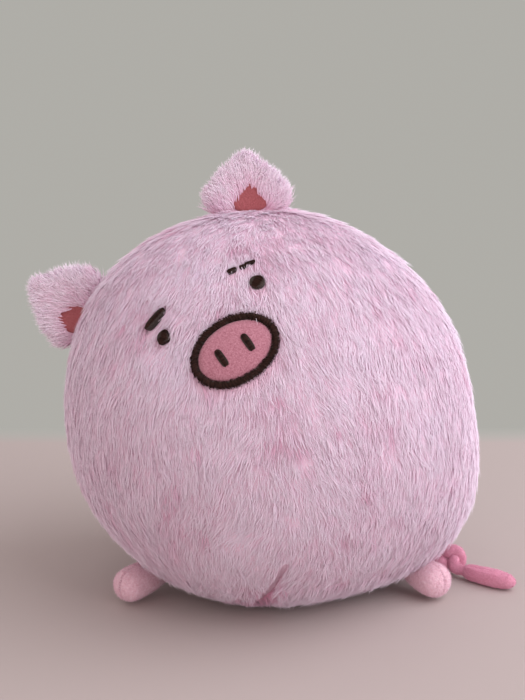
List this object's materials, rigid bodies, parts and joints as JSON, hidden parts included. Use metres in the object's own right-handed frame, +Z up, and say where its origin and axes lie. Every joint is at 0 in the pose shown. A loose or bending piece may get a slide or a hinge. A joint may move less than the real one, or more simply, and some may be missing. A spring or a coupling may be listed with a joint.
{
  "type": "plush pig",
  "caption": "Round long-pile plush pig with an embroidered tilted face, folding ears, stubby feet and a long knotted tail.",
  "frame": {"origin": "middle of the flat sole that the toy stands on", "axes": "+Z up, the face looks along -Y, and +X is on the right of someone who looks at the face"},
  "size_m": [0.2683, 0.204, 0.2444],
  "materials": {
    "long_pile": "long soft clumping pile, matte with a faint sheen",
    "stuffing": "white polyester fibre filling",
    "snout_fabric": "short brushed fabric",
    "thread": "satin-stitched embroidery thread with a slight gloss",
    "ear_lining": "short brushed fabric",
    "fleece": "short fleece, matte",
    "tail_fleece": "short fleece, matte"
  },
  "bodies": {
    "root": {"body_stuffing": "stuffing", "body_front_fur": "long_pile", "body_back_fur": "long_pile", "snout_patch": "snout_fabric", "snout_border": "thread", "nostril_left": "thread", "nostril_right": "thread", "eye_left": "thread", "eye_right": "thread", "brow_left": "thread", "brow_right": "thread"},
    "ear_left": {"ear_left_fur": "long_pile", "ear_left_lining": "ear_lining"},
    "ear_right": {"ear_right_fur": "long_pile", "ear_right_lining": "ear_lining"},
    "foot_left": {"foot_left_inner_panel": "fleece", "foot_left_outer_panel": "fleece", "foot_left_stuffing": "stuffing"},
    "foot_right": {"foot_right_inner_panel": "fleece", "foot_right_outer_panel": "fleece", "foot_right_stuffing": "stuffing"},
    "tail": {"tail_root": "tail_fleece"},
    "tail_tip": {"tail_knot": "tail_fleece", "tail_end": "tail_fleece"}
  },
  "joints": [
    {"name": "ear_left_fold", "type": "hinge", "parent": "root", "child": "ear_left", "pos_m": [-0.10174, 0.00618, 0.1581], "axis": [0.4695, 0, 0.8829], "range_deg": [-20, 30], "stiffness_Nm_per_rad": 0.03},
    {"name": "ear_right_fold", "type": "hinge", "parent": "root", "child": "ear_right", "pos_m": [-0.00753, 0.00593, 0.21441], "axis": [0.9977, 0, 0.068], "range_deg": [-20, 30], "stiffness_Nm_per_rad": 0.03},
    {"name": "foot_left_swing", "type": "hinge", "parent": "root", "child": "foot_left", "pos_m": [-0.06267, -0.01332, 0.0115], "axis": [0, 0, 1], "range_deg": [-25, 10], "stiffness_Nm_per_rad": 0.02},
    {"name": "foot_right_swing", "type": "hinge", "parent": "root", "child": "foot_right", "pos_m": [0.08159, -0.01292, 0.0115], "axis": [0, 0, 1], "range_deg": [-10, 25], "stiffness_Nm_per_rad": 0.02},
    {"name": "tail_swing", "type": "hinge", "parent": "root", "child": "tail", "pos_m": [0.03008, 0.08263, 0.04004], "axis": [0, 0, 1], "range_deg": [0, 60]},
    {"name": "tail_bend", "type": "hinge", "parent": "tail", "child": "tail_tip", "pos_m": [0.09295, 0.01807, 0.00832], "axis": [0, 0, 1], "range_deg": [-30, 40]}
  ]
}
